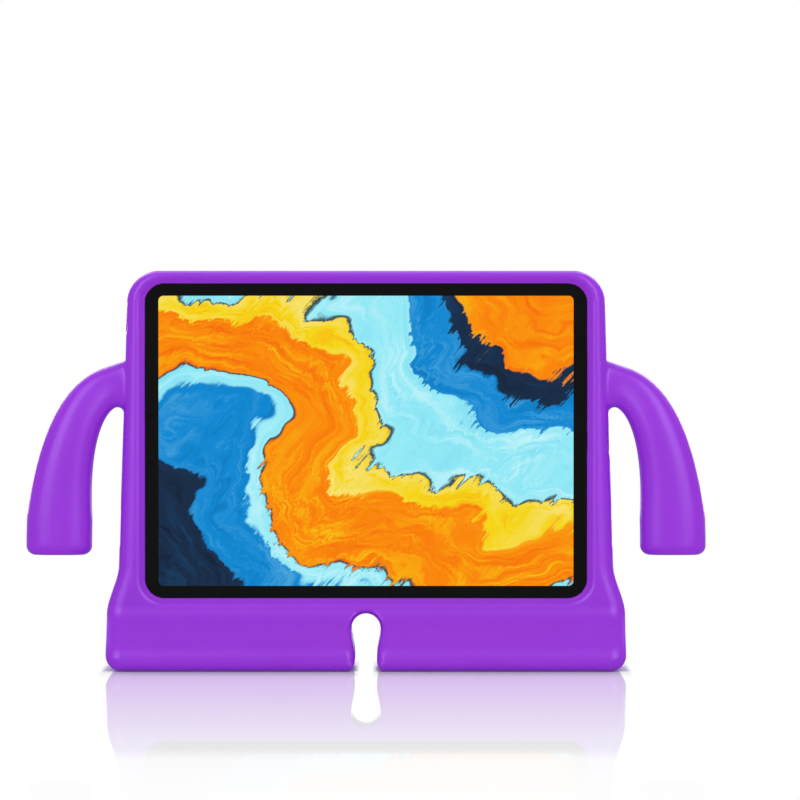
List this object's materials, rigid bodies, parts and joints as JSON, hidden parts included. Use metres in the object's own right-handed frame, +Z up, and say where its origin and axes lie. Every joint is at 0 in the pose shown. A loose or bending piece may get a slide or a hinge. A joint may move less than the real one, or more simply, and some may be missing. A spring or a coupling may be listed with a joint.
{
  "type": "kids tablet case",
  "caption": "Moulded foam tablet case with two handle arms, a flared foot with a keyhole notch, and the slim tablet that it holds.",
  "frame": {"origin": "on the ground under the middle of the foot", "axes": "+X to the right as seen from the screen's side, +Y from the screen to the back, +Z up"},
  "size_m": [0.377, 0.052, 0.221],
  "materials": {
    "violet_foam": "soft matt closed-cell foam with a fine moulded skin",
    "grey_aluminium": "bead-blasted grey aluminium",
    "polished_ring": "bright turned edge",
    "cover_glass": "glossy cover glass with a black border over a lit display",
    "display_panel": "smooth dark panel",
    "dark_lens": "black coated lens",
    "flash_diffuser": "cream frosted diffuser",
    "contact_metal": "dull plated metal",
    "board_black": "matt black",
    "battery_wrap": "matt dark wrap"
  },
  "bodies": {
    "case": {"foam_case": "violet_foam", "tablet_housing": "grey_aluminium", "cover_glass": "cover_glass", "display_panel": "display_panel", "light_sensor": "dark_lens", "front_camera": "dark_lens", "infrared_camera": "dark_lens", "rear_camera_ring": "polished_ring", "rear_camera_lens": "dark_lens", "rear_camera_barrel": "board_black", "flash_lens": "flash_diffuser", "dock_pad_1": "contact_metal", "dock_pad_2": "contact_metal", "dock_pad_3": "contact_metal", "charging_port_shell": "contact_metal", "charging_port_tongue": "board_black", "speaker_upper_left": "board_black", "speaker_lower_left": "board_black", "speaker_upper_right": "board_black", "speaker_lower_right": "board_black", "battery_left": "battery_wrap", "battery_right": "battery_wrap", "logic_board": "board_black"},
    "power_key": {"power_button": "grey_aluminium"},
    "volume_up_key": {"volume_up_button": "grey_aluminium"},
    "volume_down_key": {"volume_down_button": "grey_aluminium"}
  },
  "joints": [
    {"name": "power_press", "type": "slide", "parent": "case", "child": "power_key", "axis": [1, 0, 0], "range_m": [0, 0.0003], "stiffness_N_per_m": 400},
    {"name": "volume_up_press", "type": "slide", "parent": "case", "child": "volume_up_key", "axis": [0, 0, -1], "range_m": [0, 0.0003], "stiffness_N_per_m": 400},
    {"name": "volume_down_press", "type": "slide", "parent": "case", "child": "volume_down_key", "axis": [0, 0, -1], "range_m": [0, 0.0003], "stiffness_N_per_m": 400}
  ]
}
